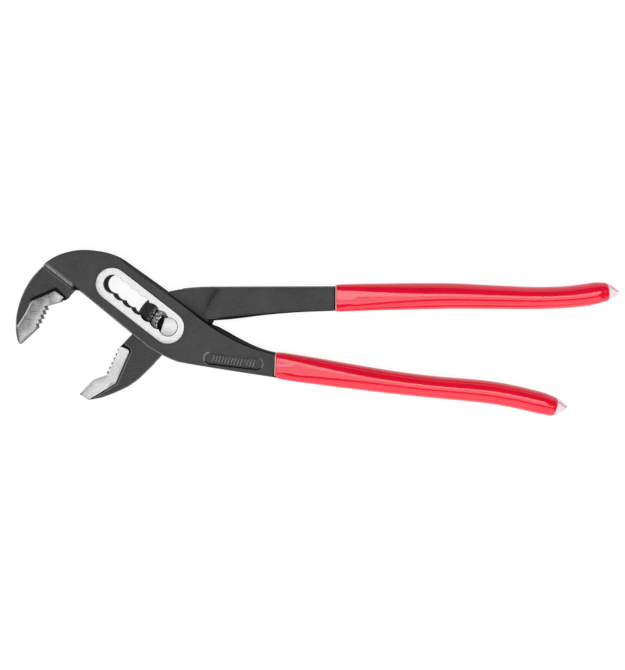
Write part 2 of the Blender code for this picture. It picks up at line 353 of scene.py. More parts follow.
def loft(name, rings, kinds):
    """A closed skin over rings of the same number of 3D points; the ends come last in kinds."""
    rings = np.asarray(rings, float)
    n = rings.shape[1]
    faces = []
    for k in range(len(rings) - 1):
        for i in range(n):
            j = (i + 1) % n
            faces.append([k * n + i, k * n + j, (k + 1) * n + j, (k + 1) * n + i])
    faces += [list(range(n))[::-1], [(len(rings) - 1) * n + i for i in range(n)]]
    return mesh_object(name, rings.reshape(-1, 3), faces, kinds)


def cut(target, outline, low, high):
    """Cut a prism out of a piece with the EXACT solver."""
    n = len(outline)
    verts = [(x, y, z) for z in (low, high) for x, y in outline]
    faces = [[i, (i + 1) % n, n + (i + 1) % n, n + i] for i in range(n)]
    tool = mesh_object("tool", verts, [*faces, list(range(n))[::-1], list(range(n, 2 * n))])
    modifier = target.modifiers.new("cut", "BOOLEAN")
    modifier.operation, modifier.solver, modifier.object = "DIFFERENCE", "EXACT", tool
    bpy.context.view_layer.update()
    made = bpy.data.meshes.new_from_object(
        target.evaluated_get(bpy.context.evaluated_depsgraph_get()))
    target.modifiers.clear()
    old, target.data = target.data, made
    made.name = target.name
    bpy.data.meshes.remove(old)
    bpy.data.objects.remove(tool)


def paint(obj, materials):
    """Give a piece its materials, keeping each face's choice."""
    kinds = [0] * len(obj.data.polygons)
    obj.data.polygons.foreach_get("material_index", kinds)
    for material in materials:
        obj.data.materials.append(material)
    obj.data.polygons.foreach_set("material_index", kinds)


def shade(obj, degrees):
    obj.data.shade_smooth()
    obj.data.set_sharp_from_angle(angle=math.radians(degrees))


# Outlines in the plane of the tool


def box_edge(u, side):
    return along(u, 12.85 + 0.02 * (u + 14) if side > 0 else -13.93 - 0.025 * (u + 14))


UPPER_BITE = [(-67.2, -1.6), (-66.1, -0.75), *teeth((-65.65, -0.63), (-60.25, 10.57), 5, 1.45)[1:]]
UPPER_BACK = [(-68.4, 12.8), *curve([(-70.7, 8.5), (-73.2, 4.1), (-76.6, -1.0)], 4)]
UPPER_PAD = [*UPPER_BITE, (-54.6, 12.2), (-52.6, 14.6), (-56.9, 17.7), *UPPER_BACK,
             (-76.6, -3.8), (-75.9, -6.8), (-74.8, -8.8)]
LOWER_BITE = teeth((-25.8, -11.4), (-32.2, -24.7), 6, 1.15)
LOWER_PAD = [*LOWER_BITE, (-37.9, -26.7), (-44.8, -33.8), (-40.4, -36.6), (-26.8, -28.3),
             *arc((-21.6, -12.6), 1.5, -24, 62, 8), (-24.3, -9.9)]


def outer_outline():
    """The outer member's whole silhouette, going a little way into the lower grip."""
    jaw_back = curve([(-74.8, -8.8), (-76.1, -6.6), (-77.0, 1.4), (-75.8, 9.5), (-72.9, 17.4),
                      (-68.8, 24.2), (-63.0, 30.2), (-56.1, 34.9), (-48.9, 37.4), (-41.5, 38.2),
                      (-33.3, 37.3), (-25.5, 34.5), (-18.9, 30.05)])
    box_top = [box_edge(-14, 1), box_edge(9, 1)]
    handle_top = curve([(16.4, 4.0), (23.2, -0.8), (30.4, -5.0), (37.8, -8.6), (45.6, -11.5),
                        (53.3, -13.4)])
    inside_grip = [(55.4, -13.9), (56.2, -14.8), (64.5, -16.6), (63.4, -25.0), (54.8, -24.5),
                   (54.0, -25.4)]
    handle_bottom = curve([(52.0, -25.2), (32.6, -22.2), (18.3, -19.85), (9.3, -18.35),
                           (4.8, -17.5), (1.0, -16.1), (-2.75, -14.3)])
    box_bottom = [box_edge(-1, -1), box_edge(-46, -1)]
    jaw_root = [(-47.4, 18.2), (-49.8, 15.8), (-50.9, 14.3), (-52.5, 13.2), (-53.7, 13.1)]
    pad = [(-54.6, 12.2), *reversed(UPPER_BITE)]
    left = next(i for i, p in enumerate(jaw_back) if p[0] > -62)
    return outline_of((jaw_back[:left], 1.35), ([*jaw_back[left:], *box_top, *handle_top], FORGED),
                      (inside_grip, 0.5),
                      (handle_bottom, FORGED), (box_bottom, 1.3), (jaw_root, 0.6), (pad, CRISP))


def inner_outline():
    """The inner member's whole silhouette, going a little way into the upper grip."""
    left = arc((0, 0), TONGUE_RADIUS, 100, 186, 40)
    neck = [(-18.8, -4.1), (-22.9, -8.5)]
    pad = [(-24.3, -9.9), *LOWER_BITE, (-37.9, -26.7), (-44.8, -33.8), (-40.4, -36.7)]
    jaw_back = curve([(-34.6, -35.6), (-28.8, -33.5), (-21.6, -30.2), (-16.1, -26.4),
                      (-11.9, -22.4), (-8.4, -19.0), (-3.9, -14.3)])
    heel = [*arc((0, 0), HEEL_RADIUS, 262, 335, 26), (17.6, -3.0), (19.8, -0.6), (21.5, 2.0)]
    bottom = curve([(22.2, 3.2), (32.4, 4.0), (48.6, 6.0), (64.7, 7.3), (82.2, 8.0)])
    inside_grip = [(84.6, 8.0), (85.4, 9.0), (94.0, 9.3), (94.0, 19.3), (85.4, 19.2), (84.6, 19.9)]
    top = [(82.2, 19.8), (60.0, 19.75), *curve([(40.0, 19.7), (26.6, 19.65), (19.0, 19.6),
                                              (12.5, 19.3), (6.3, 18.7), (0.8, 17.7)])]
    return outline_of((left, 0.5), (neck, 0.5), (pad, CRISP), (jaw_back, 0.6), (heel, 0.3),
                      (bottom, 0.4), (inside_grip, 0.5), (top, FORGED))


RING_ACROSS, RING_FAR = -0.29, -HOLE_PITCH * (HOLE_COUNT - 1) - 0.4


def stadium(radius, steps=36):
    return [along(u, v) for u, v in [*arc((0, RING_ACROSS), radius, -90, 90, steps),
                                     *arc((RING_FAR, RING_ACROSS), radius, 90, 270, steps)]]


def ring_reach(u, v):
    """Distance from the middle line of the ground ring."""
    return np.hypot(u - np.clip(u, RING_FAR, 0), v - RING_ACROSS)


def slot_outline(grow=0.0, steps=14):
    """The chain of round holes."""
    radius = HOLE_RADIUS + grow
    half_step = math.degrees(math.acos(HOLE_PITCH / 2 / radius))
    upper = []
    for i in range(HOLE_COUNT):
        start = 0 if i == 0 else half_step
        end = 180 if i == HOLE_COUNT - 1 else 180 - half_step
        side = arc((-HOLE_PITCH * i, 0), radius, start, end, steps)
        upper += side if i == 0 else side[1:]
    lower = [(x, -y) for x, y in upper]
    return np.array([along(u, v) for u, v in [*upper, *reversed(lower[1:-1])]])


def window_outline():
    first = -HOLE_PITCH * (HOLE_COUNT - 1)
    left = arc((first, 0), WINDOW_RADIUS, 130, 180, 24)
    right = [(17.8, 22.0), (17.8, 0.8), (34.0, -6.5), (34.0, -22.0)]
    return [along(u, v) for u, v in [*left, (first - 14.2, -13.4), (first - 14.2, -22.0),
                                     *reversed(right)]]


PANEL_MIDDLE, PANEL_TILT = (32.3, -17.1), math.radians(-7)
PANEL_LENGTH, PANEL_RADIUS = 11.8, 3.1   # half the straight part, and the round ends


def on_panel(points):
    """Points given in the panel's own directions, in the drawing."""
    c, s = math.cos(PANEL_TILT), math.sin(PANEL_TILT)
    return [(PANEL_MIDDLE[0] + x * c - y * s, PANEL_MIDDLE[1] + x * s + y * c) for x, y in points]


def panel_outline(shrink):
    radius = PANEL_RADIUS - shrink
    return on_panel([*arc((PANEL_LENGTH, 0), radius, -90, 90, 16),
                     *arc((-PANEL_LENGTH, 0), radius, 90, 270, 16)])


def panel_place(points):
    """Points in the panel's own directions, and how far inside its outline they are."""
    c, s = math.cos(PANEL_TILT), math.sin(PANEL_TILT)
    d = points - np.array(PANEL_MIDDLE)
    a, b = d[:, 0] * c + d[:, 1] * s, -d[:, 0] * s + d[:, 1] * c
    return a, b, PANEL_RADIUS - np.hypot(a - np.clip(a, -PANEL_LENGTH, PANEL_LENGTH), b)


RIB_PITCH, RIB_COUNT, RIB_HALF, RIB_LEAN = 1.55, 14, 1.75, 0.22


def rib_lines(offset):
    """The sides of the fine ribs in the panel, as lines of two points."""
    middles = [(i - (RIB_COUNT - 1) / 2) * RIB_PITCH + offset for i in range(RIB_COUNT)]
    return [on_panel([(x - RIB_LEAN * RIB_HALF, -RIB_HALF), (x + RIB_LEAN * RIB_HALF, RIB_HALF)])
            for x in middles]


# Pieces

# SHADED faces get a darker copy of the black coating: painted shade.
BLACK, GROUND, PAD, SHADED, DARK, TONGUE = range(6)


def forged_rows(ridge, draft=lambda points: np.zeros(len(points))):
    """Walls with draft and the trimmed flash line of a forging at the mid plane."""
    def rows(points, z):
        push, bulge = ridge(points), draft(points)
        half = [(z * 0.65, ramp(places(points)[0], [17, 21], [0.92, 0.45]) * bulge),
                (np.minimum(1.0, z * 0.4), 0.10 * push + 0.9 * bulge),
                (np.minimum(0.6, z * 0.2), 0.24 * push + bulge)]
        return [*half, (0 * z, 0.27 * push + bulge), *((-h, out) for h, out in reversed(half))]
    return rows


def pad_height(points, top, foot, low, high):
    """A ground pad that stands above its jaw behind sloping risers."""
    inner, outer = depth(points, top), depth(points, foot)
    share = np.where(inner >= 0, 1, np.where(outer <= 0, 0,
                     outer / np.maximum(outer - inner, 1e-9)))
    return low + (high - low) * share


UPPER_FOOT = [*UPPER_BITE, (-54.6, 12.0), (-50.9, 14.2),
              (-56.3, 19.7), (-68.7, 14.3), *curve([(-71.1, 8.7), (-73.6, 4.3), (-77.1, -0.9)], 4),
              (-77.2, -3.9), (-76.3, -7.0), (-75.0, -9.1)]
LOWER_FOOT = [*LOWER_BITE, (-37.9, -26.7), (-45.0, -33.9), (-40.2, -37.0), (-26.1, -28.9),
              *arc((-21.1, -12.2), 2.1, -24, 66, 8), (-22.9, -8.5), (-24.2, -9.4)]


# Lines across the web, where the painted shadow beside the box's edge fades out.
SHADOW_LINES = [12.0, 12.9, 13.8, 15.2, 17.0, 19.0]
SHOULDER_LINES = [-15.6, -15.2, -14.95, -14.6, -14.2, -13.8, -13.4, -13.0, -12.4, -11.6, -10.8]
SHOULDER_RISE = [0, 0.03, 0.15, 0.7, 1.75, 2.55, 2.95, 3.15, 3.32, 3.39, 3.4]
SHOULDER_HIGHLIGHT = [0, 0.45, 0.45, 0, 0, 0.5, 1, 0.9, 0.5, 0.15, 0]


def make_outer(materials):
    poly, radii = outer_outline()
    slot = slot_outline()
    drawing = Drawing()
    drawing.line(poly)
    drawing.insets(poly, radii, EDGE_SHARES)
    drawing.line(slot)
    drawing.line(slot_outline(0.12))
    for radius in (RING_RADIUS - 0.12, RING_RADIUS, RING_RADIUS + 0.25, RING_RADIUS + 0.45):
        drawing.line(stadium(radius))
    for shrink in (-0.6, -0.3, 0.0, 0.4, 0.65):
        drawing.line(panel_outline(shrink))
    for offset in (-0.34, -0.14, 0.14, 0.34):
        for line in rib_lines(offset):
            drawing.line(line, closed=False)
    for shift in (-0.8, 0.8):
        drawing.line([(54.2 + shift, -12.0), (52.4 + shift, -27.0)], closed=False)
    drawing.line(refine(UPPER_PAD))
    drawing.line(refine(UPPER_FOOT))
    drawing.line([(x + 0.75, y - 0.1) for x, y in UPPER_BACK], closed=False)
    for v in SHOULDER_LINES:
        drawing.line([along(u, v) for u in np.linspace(-78, -45.2, 40)], closed=False)
    drawing.fill(poly)

    def height(points):
        x = points[:, 0]
        u, v = places(points)
        z = ramp(x, [18, 56], [BOX_HALF, HANDLE_HALF - 0.1])
        z = np.where(x > 54.8, np.minimum(z, ramp(x, [54.8, 56.4], [4.7, 3.9])), z)
        shoulder = ramp(v, SHOULDER_LINES, SHOULDER_RISE) + JAW_HALF
        z = np.where(u < -45.1, np.minimum(z, shoulder), z)
        jaw = (u < -45.1) & (v < -14.9)
        pad = pad_height(points, UPPER_PAD, UPPER_FOOT, JAW_HALF, PAD_HALF)
        z = np.where(jaw, np.maximum(z, pad), z)
        ring = ring_reach(u, v)
        z = z + ramp(
            ring, [RING_RADIUS - 0.12, RING_RADIUS, RING_RADIUS + 0.25, RING_RADIUS + 0.45],
            [0.4, 0.36, 0.03, 0])
        hole = -depth(points, slot)
        z = z - 0.1 * np.clip(1 - hole / 0.12, 0, 1)
        a, b, oval = panel_place(points)
        floor = HANDLE_HALF - 0.1
        z = z - (z - floor) * ramp(oval, [-0.3, 0, 0.4, 0.65], [0, 0.12, 0.93, 1])
        away = np.abs(((a - RIB_LEAN * b) / RIB_PITCH + RIB_COUNT % 2 / 2) % 1 - 0.5) * RIB_PITCH
        rib = ramp(away, [0.14, 0.34], [0.3, 0]) * (np.abs(b) <= RIB_HALF + 1e-6)
        rib *= np.abs(a - RIB_LEAN * b) < RIB_PITCH * RIB_COUNT / 2
        rib = np.where(oval > 0.6, rib, 0)
        z = z + rib
        drop, near = rounding(points, poly, radii)
        # Rubbed edges with a painted highlight, stronger on the jaw's far end and along the box's
        # lower edge.
        share = np.maximum(ramp(x, [-68, -60], [1, 0.4]), (v < -9) & (u > -46))
        wear_light_and_tone = np.where(radii[nearest(points, poly)[1]] > 0.3, near * share, 0)
        # Painted highlight: light bands along the shoulder's slope.
        slope = ramp(v, SHOULDER_LINES, SHOULDER_HIGHLIGHT) * ramp(u, [-51, -49.5], [1, 0])
        wear_light_and_tone = np.where(u < -45.1, np.maximum(wear_light_and_tone, slope), wear_light_and_tone)
        # Painted highlight on the round ends of the panel's recess.
        ends = np.where(a < 0, ramp(a, [-13.0, -11.5], [1.4, 0]), ramp(a, [11.5, 14.0], [0, 0.8]))
        wear_light_and_tone = np.maximum(wear_light_and_tone, ends * ramp(oval, [-0.3, 0, 0.4, 0.65], [0, 1, 0.6, 0]))
        wear_light_and_tone = np.maximum(wear_light_and_tone, rib / 0.36)
        bite = nearest(points, [UPPER_PAD[-1], UPPER_BITE[0], UPPER_BITE[-1]], False)[0]
        tone = np.maximum(ramp(bite, [0.5, 2.1, 2.7, 3.1, 3.9, 5.5],
                               [0.12, -0.15, -0.42, -0.54, -0.68, -0.78]),
                          ramp(x, [-60.5, -59.5, -57.6, -55.6], [-1, -0.66, -0.3, 0.03]))
        # Painted highlight: a light line along the pad's back edge.
        tone = np.where(nearest(points, UPPER_BACK, False)[0] < 0.1, 0.8, tone)
        return z - drop, np.where(depth(points, UPPER_PAD) > -0.05, tone, wear_light_and_tone)

    def top_kind(points):
        u, v = places(points)
        ring = ring_reach(u, v)
        kind = np.where(ring < RING_RADIUS, GROUND, BLACK)
        # Painted shade: a dark band round the foot of the ground ring's step.
        kind = np.where((ring >= RING_RADIUS) & (ring < RING_RADIUS + 0.25), SHADED, kind)
        _, b, oval = panel_place(points)
        # Painted shade along the lower side of the panel's recess.
        kind = np.where((oval > 0) & (oval < 0.65) & (b < -1.6), SHADED, kind)
        foot = inside(points, UPPER_FOOT)
        # Painted shade on the sloping riser at the pad's upper end.
        kind = np.where(foot & (points[:, 1] > 12.6), SHADED, kind)
        # Painted shadow along the box's upper edge, widest by the notch where the inner handle's
        # web lies below.
        dark = ramp(points[:, 0], [-27, -22, 10, 16, 46], [0, 0.3, 0.3, 0.66, 0.5])
        edge = nearest(points, poly)[0] < dark
        kind = np.where(edge & (v > 0) & (points[:, 1] > -16), SHADED, kind)
        # Painted shade below the jaw's shoulder.
        kind = np.where((u > -49.4) & (u < -45) & (v < -12.5) & (v > -15), SHADED, kind)
        # Painted shadow in the gap at the grip's mouth.
        mouth = points[:, 0] - 54.2 - (points[:, 1] + 12.0) * 0.12
        kind = np.where((mouth > -0.8) & (mouth < 0.8), SHADED, kind)
        kind = np.where(foot & (points[:, 0] < -67) & (points[:, 1] < 12.6), GROUND, kind)
        return np.where(inside(points, UPPER_PAD), PAD, kind)

    def wall_kind(points):
        # Cut steel beside the pad; painted shade on the other walls.
        return np.where(depth(points, UPPER_PAD) > -0.2, DARK, SHADED)

    def ridge(points):
        """None on the jaw's back, where the wide open handle comes close."""
        back = ramp(points[:, 0], [-54, -48, -36, -30], [1, 0, 0, 1])
        back = np.where(points[:, 1] > 20, back, 1)
        return np.where((depth(points, UPPER_PAD) > -0.4) | (nearest(points, slot)[0] < 0.1)
                        | (points[:, 0] > 50), 0, back)

    def draft(points):
        return ramp(points[:, 0], [17, 19, 21.5, 24, 29, 36, 44, 50],
                    [0, 0.05, 0.4, 1.0, 1.15, 0.85, 0.35, 0]) * (points[:, 1] > -14)

    obj = plate("outer_forging", drawing, poly, [slot], height, top_kind,
                forged_rows(ridge, draft), wall_kind)
    paint(obj, materials)
    cut(obj, window_outline(), -TONGUE_HALF - GAP, TONGUE_HALF + GAP)
    shade(obj, 38)
    return obj


def make_inner(materials):
    poly, radii = inner_outline()
    bore = np.array(arc((0, 0), BORE_RADIUS, 0, 360, 96)[:-1])
    bottom = curve([(22.6, 3.75), (27.5, 4.65), (36.4, 5.5), (44.4, 6.35), (60.0, 7.55),
                    (73.0, 8.15), (81.0, 8.2)])
    nose = arc((20.3, 6.3), 2.6, 138, 272, 14)
    handle = refine([(26.6, 24.0), (26.6, 19.7), *nose, *bottom, (110.0, 8.2), (110.0, 24.0)], 0.7)
    drawing = Drawing()
    drawing.line(poly)
    drawing.insets(poly, radii, EDGE_SHARES)
    drawing.line(bore)
    drawing.line(arc((0, 0), BORE_RADIUS + 0.3, 0, 360, 96)[:-1])
    drawing.line([(82.3, 6.0), (82.3, 22.0)], closed=False)
    for v in SHADOW_LINES:
        line = np.array([along(u, v) for u in np.arange(-12, 26, 1.6)])
        clear = (depth(line, poly) > 0.9) & (depth(line, handle) < -0.1)
        drawing.line(line, closed=False, keep=clear)
    out = normals_of(handle) * (-1 if clockwise(handle) else 1)
    first = int(np.argmin(np.hypot(*(handle - (26.6, 19.7)).T)))
    last = int(np.argmin(np.hypot(*(handle - (81.0, 8.2)).T)))
    under = int(np.argmin(np.hypot(*(handle - bottom[0]).T)))
    for push in (-0.85, -0.5, -0.25, -0.1, 0.0, 0.3, 0.7, 1.3, 2.0, 2.9, 4.0, 5.2):
        line = (handle + out * push)[first:last if push < 0.5 else under]
        close = np.abs(np.abs(depth(line, handle)) - abs(push)) < 0.08
        drawing.line(line, closed=False, keep=close)
    drawing.line(refine(LOWER_PAD))
    foot = refine(LOWER_FOOT)
    drawing.line(foot)
    drawing.insets(foot[::-1] if clockwise(foot) else foot, np.ones(len(foot)), (0.15, -0.12, -0.5))
    drawing.fill(poly)

    def height(points):
        x, y = points.T
        inner = depth(points, handle)
        wide = ramp(inner, [-5.2, -4.0, -2.9, -2.0, -1.3, -0.7, -0.3, 0, 0.1, 0.25, 0.5, 0.85],
                    [0, 0.05, 0.2, 0.44, 0.8, 1.22, 1.6, 1.85, 2.0, 2.18, 2.34, 2.4])
        steep = ramp(inner, [-0.3, 0, 0.1, 0.25, 0.5, 0.85], [0, 1.55, 1.9, 2.14, 2.32, 2.4])
        z = TONGUE_HALF + np.where(
            x > 20.3, np.where(y < 9, steep, wide),
            steep + (wide - steep) * ramp(y, [9, 13], [0, 1]))
        z = np.where(x > 84.4, np.minimum(z, ramp(x, [84.4, 86.0], [4.8, 3.9])), z)
        pad = pad_height(points, LOWER_PAD, LOWER_FOOT, JAW_HALF, PAD_HALF)
        z = np.where(x < -18, np.maximum(z, pad), z)
        drop, near = rounding(points, poly, radii)
        z = z - 0.15 * np.clip(1 - (np.hypot(x, y) - BORE_RADIUS) / 0.3, 0, 1)
        # Rubbed edges with a painted highlight.
        wear_light_and_tone = np.where(radii[nearest(points, poly)[1]] > 0.3, near * 0.6, 0)
        # Painted highlight: a light line on the riser at the lower pad's foot.
        foot = ramp(depth(points, LOWER_FOOT), [-0.5, -0.12, 0.15], [0, 0.75, 0])
        wear_light_and_tone = np.where((x < -18) & (x > -38), np.maximum(wear_light_and_tone, foot), wear_light_and_tone)
        # Painted highlight along the handle's step, strongest at its nose.
        lip = ramp(inner, [-0.1, 0.1, 0.5], [0, 0.9, 0]) * ramp(x, [19, 26], [1, 0.25])
        lip *= (x < 26) | (y < 12)
        u, v = places(points)
        # Painted shadow of the box's edge on the web, darkest by the notch; negative values darken
        # the coating.
        painted_shade = ramp(v, SHADOW_LINES, [1, 1, 0.75, 0.45, 0.2, 0]) * ramp(u, [-10, 2, 14], [0, 0.6, 1])
        painted_shade *= (inner < 0) & (x > -10) & (y > -2)
        wear_light_and_tone = np.where(painted_shade > 0, -painted_shade, np.maximum(wear_light_and_tone, lip))
        rim = nearest(points, [LOWER_BITE[-1], (-37.9, -26.7), (-44.8, -33.8)], False)[0]
        tone = ramp(rim, [0.2, 2.2], [-1, 0])
        return z - drop, np.where(depth(points, LOWER_PAD) > -0.05, tone, wear_light_and_tone)

    def top_kind(points):
        reach = np.hypot(*points.T)
        turn = np.degrees(np.arctan2(points[:, 1], points[:, 0])) % 360
        bare = (reach < 12.8) | ((reach < 16.2) & (turn > 88) & (turn < 190))
        kind = np.where(bare, TONGUE, BLACK)
        # Painted shade under the handle's step by the nose and at the grip's mouth.
        under = (depth(points, handle) < 0.1) & (points[:, 0] > 19.5) & (points[:, 1] < 9)
        kind = np.where(under | (points[:, 0] > 82.3), SHADED, kind)
        # Painted shade on the pad's risers at its upper end and at the tip.
        foot = inside(points, LOWER_FOOT)
        kind = np.where(foot & ((points[:, 1] > -13) | (points[:, 0] < -32)), SHADED, kind)
        kind = np.where(inside(points, LOWER_PAD), PAD, kind)
        tooth = nearest(points, [LOWER_BITE[0], LOWER_BITE[-1]], False)[0] < 1.0
        return np.where(tooth & foot & (points[:, 1] > -24.5), DARK, kind)

    def wall_kind(points):
        # Cut steel beside the pad; painted shade on the other walls.
        return np.where(depth(points, LOWER_PAD) > -0.2, DARK, SHADED)

    def ridge(points):
        r = np.hypot(*points.T)
        return np.where((depth(points, LOWER_PAD) > -0.4) | (r < TONGUE_RADIUS + 3)
                        | (points[:, 0] > 86), 0, 1)

    obj = plate("inner_forging", drawing, poly, [bore], height, top_kind, forged_rows(ridge),
                wall_kind)
    paint(obj, materials)
    shade(obj, 38)
    return obj


def make_pin():
    """A D section ground flush at both ends, with a round middle."""
    turns = np.radians(np.arange(0, 360, 3.0))
    reach = math.acos(PIN_FLAT / PIN_RADIUS)
    turns = np.sort(np.concatenate([turns, [(PIN_FLAT_ANGLE + reach), (PIN_FLAT_ANGLE - reach)]]))
    off = (turns - PIN_FLAT_ANGLE + math.pi) % (2 * math.pi) - math.pi
    flat = np.where(np.abs(off) < reach + 1e-9, PIN_FLAT / np.maximum(np.cos(off), 0.2), PIN_RADIUS)

    def ring(radius, z):
        return np.column_stack(
            [radius * np.cos(turns), radius * np.sin(turns), np.full(len(turns), z)])
    drum = np.full(len(turns), PIN_DRUM_RADIUS)
    half = [ring(flat - 0.22, RING_HALF - 0.02), ring(flat - 0.06, RING_HALF - 0.08),
            ring(flat, RING_HALF - 0.25), ring(flat, TONGUE_HALF), ring(drum - 0.2, TONGUE_HALF),
            ring(drum, TONGUE_HALF - 0.2)]
    rings = half + [r * (1, 1, -1) for r in reversed(half)]
    rings = [r + np.array((-0.04, 0.05, 0)) for r in rings]
    sides = (len(rings) - 1) * len(turns)
    bright = [0] * len(turns)
    # The ground ends are bright steel; the sides and the drum get painted shade.
    obj = loft("pin", rings[::-1], [*bright, *[1] * (sides - 2 * len(turns)), *bright, 0, 0])
    shade(obj, 35)
    return obj


def make_collar():
    turns = np.radians(np.arange(0, 360, 3.0))
    c, s = np.cos(turns), np.sin(turns)
    z = TONGUE_HALF
    profile = [(COLLAR_INNER + 0.25, z), (COLLAR_OUTER - 0.35, z), (COLLAR_OUTER, z - 0.35),
               (COLLAR_OUTER, -z + 0.35), (COLLAR_OUTER - 0.35, -z), (COLLAR_INNER + 0.25, -z),
               (COLLAR_INNER, -z + 0.25), (COLLAR_INNER, z - 0.25)]
    rings = np.array([np.column_stack([r * c, r * s, np.full(len(c), h)]) for r, h in profile])
    n, count = len(turns), len(profile)
    faces = [[k * n + i, ((k + 1) % count) * n + i, ((k + 1) % count) * n + (i + 1) % n,
              k * n + (i + 1) % n] for k in range(count) for i in range(n)]
    obj = mesh_object("collar", rings.reshape(-1, 3), faces)
    shade(obj, 35)
    return obj


# Grips: edge point, opposite edge point, half thickness, squareness of the section

UPPER_GRIP = [
    (83.0, 20.9, 83.0, 7.4, 5.6, 4.4),
    (88.0, 21.2, 88.0, 7.4, 6.0, 3.8),
    (104.0, 21.5, 104.0, 7.9, 6.2, 2.8),
    (122.0, 21.7, 122.0, 8.3, 6.2, 2.2),
    (142.0, 21.6, 141.8, 8.7, 6.2, 2.05),
    (162.5, 20.6, 162.0, 8.6, 6.2, 2.05),
    (182.0, 19.8, 182.0, 8.5, 6.2, 2.05),
    (196.5, 20.1, 197.0, 9.0, 6.2, 2.05),
    (206.6, 21.2, 207.9, 10.0, 6.0, 2.05),
    (212.2, 22.0, 213.4, 11.1, 5.6, 2.05),
    (216.6, 22.0, 217.3, 12.2, 5.0, 2.05),
]
LOWER_GRIP = [
    (53.1, -12.8, 52.5, -25.4, 5.6, 4.4),
    (58.3, -13.2, 57.4, -26.8, 6.0, 3.8),
    (74.8, -15.9, 73.2, -29.1, 6.2, 2.8),
    (94.2, -19.3, 92.4, -31.6, 6.2, 2.2),
    (113.7, -22.5, 112.6, -34.0, 6.2, 2.05),
    (133.2, -24.9, 132.2, -36.0, 6.2, 2.05),
    (157.5, -27.0, 156.0, -38.3, 6.2, 2.05),
    (172.2, -29.4, 170.0, -40.5, 6.2, 2.05),
    (183.2, -32.0, 179.8, -42.7, 6.1, 2.05),
    (188.4, -33.5, 185.1, -43.9, 5.7, 2.05),
    (192.6, -35.2, 189.7, -44.7, 5.0, 2.05),
]
AROUND = 96
DOME, DRIP = 2.3, 7.7
DOME_SHAPE = [(0.2, 0.99), (0.45, 0.96), (0.66, 0.91), (0.82, 0.85), (0.93, 0.77), (1.0, 0.66)]
DRIP_SHAPE = [(0.14, 0.55), (0.21, 0.80), (0.255, 0.86), (0.30, 0.865), (0.38, 0.82), (0.48, 0.745),
              (0.58, 0.645), (0.68, 0.535), (0.78, 0.42), (0.86, 0.32), (0.92, 0.23), (0.97, 0.14),
              (0.995, 0.06), (1.0, 0.02)]


def grip_ring(station, shrink=0.0):
    """A rounded section through a station, drawn in by shrink."""
    left, right = np.array(station[0:2]), np.array(station[2:4])
    middle, reach = (left + right) / 2, (left - right) / 2
    width = np.hypot(*reach)
    side = reach / width
    t = np.linspace(0, math.pi / 2, 400)
    y, z = ((size - shrink) * np.abs(wave) ** (2 / station[5])
            for size, wave in ((width, np.cos(t)), (station[4], np.sin(t))))
    run = np.concatenate([[0], np.cumsum(np.hypot(np.diff(y), np.diff(z)))])
    even = np.linspace(0, run[-1], AROUND // 4 + 1)
    y, z = np.interp(even, run, y), np.interp(even, run, z)
    y = np.concatenate([y[:-1], -y[:0:-1], -y[:-1], y[:0:-1]])
    z = np.concatenate([z[:-1], z[:0:-1], -z[:-1], -z[:0:-1]])
    return np.column_stack([middle + side * y[:, None], z])


def end_rings(last, length, shares, turn=0.0):
    """Rings beyond a grip's last section: (share of length, share of size) pairs."""
    ax, ay, bx, by = last[:4]
    ring = grip_ring(last)
    centre = ring.mean(0)
    way = np.array((ay - by, bx - ax, 0.0)) / np.hypot(ay - by, bx - ax)
    side = np.array((-way[1], way[0], 0.0))
    return [centre + (ring - centre) * size + (way * step + side * turn * step ** 2) * length
            for step, size in shares]


def dent(points, middle, half, height):
    """Raise a soft-edged patch of the skin, as where the steel's end shows through."""
    x = ease((half[0] - np.abs(points[:, 0] - middle[0])) / 1.8 + 0.5)
    y = ease((half[1] - np.abs(points[:, 1] - middle[1])) / 1.4 + 0.5)
    lifted = points.copy()
    lifted[:, 2] += np.sign(points[:, 2]) * height * x * y * (np.abs(points[:, 2]) > 3.5)
    return lifted


def make_grip(name, stations, patch):
    """The red dipped sleeve, with a pale rounded lip at its mouth and a domed end."""
    rows = curve(stations, 14)
    first, second, deep = (np.array(rows[i]) for i in (0, 1, 8))
    inner = [grip_ring(first + (deep - first) * 0.99, 1.0), grip_ring(first, 0.66)]
    lip = [grip_ring(first, 0.36), grip_ring(first + (second - first) * 0.12, 0.12),
           grip_ring(first + (second - first) * 0.5, 0.0),
           grip_ring(first + (second - first) * 1.0, 0.03)]
    skin = [grip_ring(first + (second - first) * 1.3, 0.16), *(grip_ring(r) for r in rows[2:])]
    skin = [dent(r, *patch) for r in [*skin, *end_rings(rows[-1], DOME, DOME_SHAPE)]]
    pale = (len(inner) + len(lip) - 1) * AROUND
    obj = loft(name, [*inner, *lip, *skin], [1] * pale + [0] * len(skin) * AROUND + [1, 0])
    shade(obj, 60)
    return obj


def make_tip(name, stations, turn):
    """The clear drip that the outer dip leaves over a grip's end, with a thin painted dark
    reflection in it.
    """
    rows = curve(stations, 14)
    rings = end_rings(rows[-1], DRIP, DRIP_SHAPE, turn)
    kinds = []
    for k, ring in enumerate(rings):
        centre = ring.mean(0)
        t = np.linspace(0, 2 * math.pi, AROUND, endpoint=False)
        facet = 1 - 0.10 * ease((k - 3) / 6) * (1 - np.abs(np.cos(1.5 * (t + 0.7))))
        rings[k] = centre + (ring - centre) * facet[:, None]
        # The faces that carry the painted reflection's dark line.
        run = 13 + (k - 3) * 1.4
        for i in range(AROUND):
            close = min(abs(i + 0.5 - run), abs(AROUND - i - 0.5 - run))
            kinds.append(1 if 3 <= k <= 9 and close < 1.0 else 0)
    obj = loft(name, rings, [*kinds[:-AROUND], 0, 0])
    shade(obj, 60)
    return obj


# Materials


